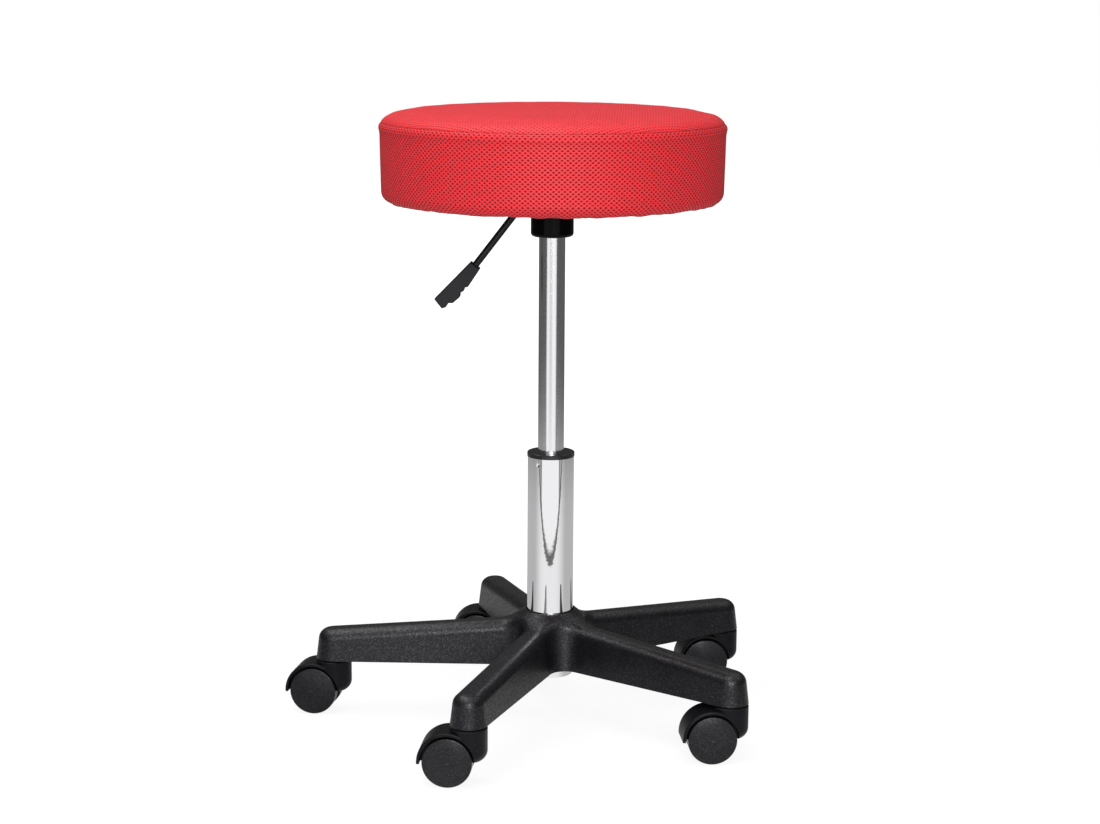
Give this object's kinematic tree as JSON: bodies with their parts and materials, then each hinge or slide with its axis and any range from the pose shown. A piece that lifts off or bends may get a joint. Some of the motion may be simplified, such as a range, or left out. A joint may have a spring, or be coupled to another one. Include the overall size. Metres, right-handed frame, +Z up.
{
  "type": "rolling stool",
  "caption": "Round padded stool with a sewn mesh cover on a gas height column with a release lever, standing on a star base with swivelling twin-wheel casters.",
  "frame": {"origin": "on the floor, on the axis of the gas column", "axes": "+Z up; the first leg of the base and the height lever point along -X, and the picture looks along +Y"},
  "size_m": [0.5008, 0.4927, 0.6605],
  "materials": {
    "base_plastic": "fine moulded grain, black",
    "caster_plastic": "satin moulded, charcoal",
    "wheel_plastic": "satin moulded, charcoal",
    "chrome": "polished",
    "tube_steel": "satin",
    "steel": "zinc plated",
    "bush_plastic": "moulded, black",
    "rubber": "moulded, black",
    "socket_paint": "gloss black",
    "lever_paint": "satin black",
    "grip_plastic": "matt, charcoal",
    "plywood": "bare",
    "foam": "open cell foam",
    "cover_mesh": "red spacer mesh",
    "elastic": "covered elastic"
  },
  "bodies": {
    "base": {"star_base": "base_plastic", "caster_stems": "steel", "stem_grip_rings": "steel", "column_tube": "chrome", "guide_bush": "bush_plastic", "bump_stop": "rubber", "bearing_race_lower": "steel", "retaining_washer": "steel"},
    "cage": {"bearing_cage": "bush_plastic", "bearing_balls": "steel"},
    "gas_rod": {"bearing_race_upper": "steel", "piston_rod": "chrome", "piston": "rubber", "piston_nut": "steel", "retaining_clip": "steel"},
    "seat": {"pressure_tube": "tube_steel", "rod_gland": "rubber", "valve_body": "steel", "column_socket": "socket_paint", "lever_pivot_pin": "steel", "seat_plate": "socket_paint", "plate_washers": "steel", "plate_bolts": "steel", "tee_nuts": "steel", "seat_board": "plywood", "seat_foam": "foam", "seat_cover": "cover_mesh", "hem_elastic": "elastic"},
    "lever": {"lever_rod": "lever_paint", "lever_grip": "grip_plastic"},
    "release": {"release_pin": "steel"},
    "caster_1": {"caster_body_1": "caster_plastic", "caster_axle_1": "steel"},
    "front_wheel_1": {"wheel_front_1": "wheel_plastic"},
    "rear_wheel_1": {"wheel_rear_1": "wheel_plastic"},
    "caster_2": {"caster_body_2": "caster_plastic", "caster_axle_2": "steel"},
    "front_wheel_2": {"wheel_front_2": "wheel_plastic"},
    "rear_wheel_2": {"wheel_rear_2": "wheel_plastic"},
    "caster_3": {"caster_body_3": "caster_plastic", "caster_axle_3": "steel"},
    "front_wheel_3": {"wheel_front_3": "wheel_plastic"},
    "rear_wheel_3": {"wheel_rear_3": "wheel_plastic"},
    "caster_4": {"caster_body_4": "caster_plastic", "caster_axle_4": "steel"},
    "front_wheel_4": {"wheel_front_4": "wheel_plastic"},
    "rear_wheel_4": {"wheel_rear_4": "wheel_plastic"},
    "caster_5": {"caster_body_5": "caster_plastic", "caster_axle_5": "steel"},
    "front_wheel_5": {"wheel_front_5": "wheel_plastic"},
    "rear_wheel_5": {"wheel_rear_5": "wheel_plastic"}
  },
  "joints": [
    {"name": "seat_swivel", "type": "hinge", "parent": "base", "child": "gas_rod", "pos_m": [0, 0, 0.063], "axis": [0, 0, 1], "continuous": true},
    {"name": "cage_orbit", "type": "hinge", "parent": "base", "child": "cage", "pos_m": [0, 0, 0.063], "axis": [0, 0, 1], "continuous": true},
    {"name": "seat_height", "type": "slide", "parent": "gas_rod", "child": "seat", "axis": [0, 0, 1], "range_m": [-0.14, 0]},
    {"name": "lever_lift", "type": "hinge", "parent": "seat", "child": "lever", "pos_m": [-0.013, 0, 0.557], "axis": [0, 1, 0], "range_deg": [0, 10], "stiffness_Nm_per_rad": 3, "springref_deg": -8.59},
    {"name": "release_press", "type": "slide", "parent": "seat", "child": "release", "axis": [0, 0, 1], "range_m": [-0.0024, 0]},
    {"name": "caster_swivel_1", "type": "hinge", "parent": "base", "child": "caster_1", "pos_m": [-0.237, 0, 0.0255], "axis": [0, 0, 1], "continuous": true},
    {"name": "front_wheel_roll_1", "type": "hinge", "parent": "caster_1", "child": "front_wheel_1", "pos_m": [-0.25681, 0.00278, 0.0255], "axis": [0.1392, 0.9903, 0], "continuous": true},
    {"name": "rear_wheel_roll_1", "type": "hinge", "parent": "caster_1", "child": "rear_wheel_1", "pos_m": [-0.25681, 0.00278, 0.0255], "axis": [0.1392, 0.9903, 0], "continuous": true},
    {"name": "caster_swivel_2", "type": "hinge", "parent": "base", "child": "caster_2", "pos_m": [-0.07324, -0.2254, 0.0255], "axis": [0, 0, 1], "continuous": true},
    {"name": "front_wheel_roll_2", "type": "hinge", "parent": "caster_2", "child": "front_wheel_2", "pos_m": [-0.0932, -0.22418, 0.0255], "axis": [0.061, 0.9981, 0], "continuous": true},
    {"name": "rear_wheel_roll_2", "type": "hinge", "parent": "caster_2", "child": "rear_wheel_2", "pos_m": [-0.0932, -0.22418, 0.0255], "axis": [0.061, 0.9981, 0], "continuous": true},
    {"name": "caster_swivel_3", "type": "hinge", "parent": "base", "child": "caster_3", "pos_m": [0.19174, -0.13931, 0.0255], "axis": [0, 0, 1], "continuous": true},
    {"name": "front_wheel_roll_3", "type": "hinge", "parent": "caster_3", "child": "front_wheel_3", "pos_m": [0.17187, -0.14157, 0.0255], "axis": [-0.1132, 0.9936, 0], "continuous": true},
    {"name": "rear_wheel_roll_3", "type": "hinge", "parent": "caster_3", "child": "rear_wheel_3", "pos_m": [0.17187, -0.14157, 0.0255], "axis": [-0.1132, 0.9936, 0], "continuous": true},
    {"name": "caster_swivel_4", "type": "hinge", "parent": "base", "child": "caster_4", "pos_m": [0.19174, 0.13931, 0.0255], "axis": [0, 0, 1], "continuous": true},
    {"name": "front_wheel_roll_4", "type": "hinge", "parent": "caster_4", "child": "front_wheel_4", "pos_m": [0.17198, 0.13618, 0.0255], "axis": [-0.1564, 0.9877, 0], "continuous": true},
    {"name": "rear_wheel_roll_4", "type": "hinge", "parent": "caster_4", "child": "rear_wheel_4", "pos_m": [0.17198, 0.13618, 0.0255], "axis": [-0.1564, 0.9877, 0], "continuous": true},
    {"name": "caster_swivel_5", "type": "hinge", "parent": "base", "child": "caster_5", "pos_m": [-0.07324, 0.2254, 0.0255], "axis": [0, 0, 1], "continuous": true},
    {"name": "front_wheel_roll_5", "type": "hinge", "parent": "caster_5", "child": "front_wheel_5", "pos_m": [-0.09323, 0.22575, 0.0255], "axis": [0.0175, 0.9998, 0], "continuous": true},
    {"name": "rear_wheel_roll_5", "type": "hinge", "parent": "caster_5", "child": "rear_wheel_5", "pos_m": [-0.09323, 0.22575, 0.0255], "axis": [0.0175, 0.9998, 0], "continuous": true}
  ],
  "couplings": [
    {"joint": "cage_orbit", "follows": "seat_swivel", "ratio": 0.5},
    {"joint": "release_press", "follows": "lever_lift", "m_per_rad": -0.0135}
  ]
}
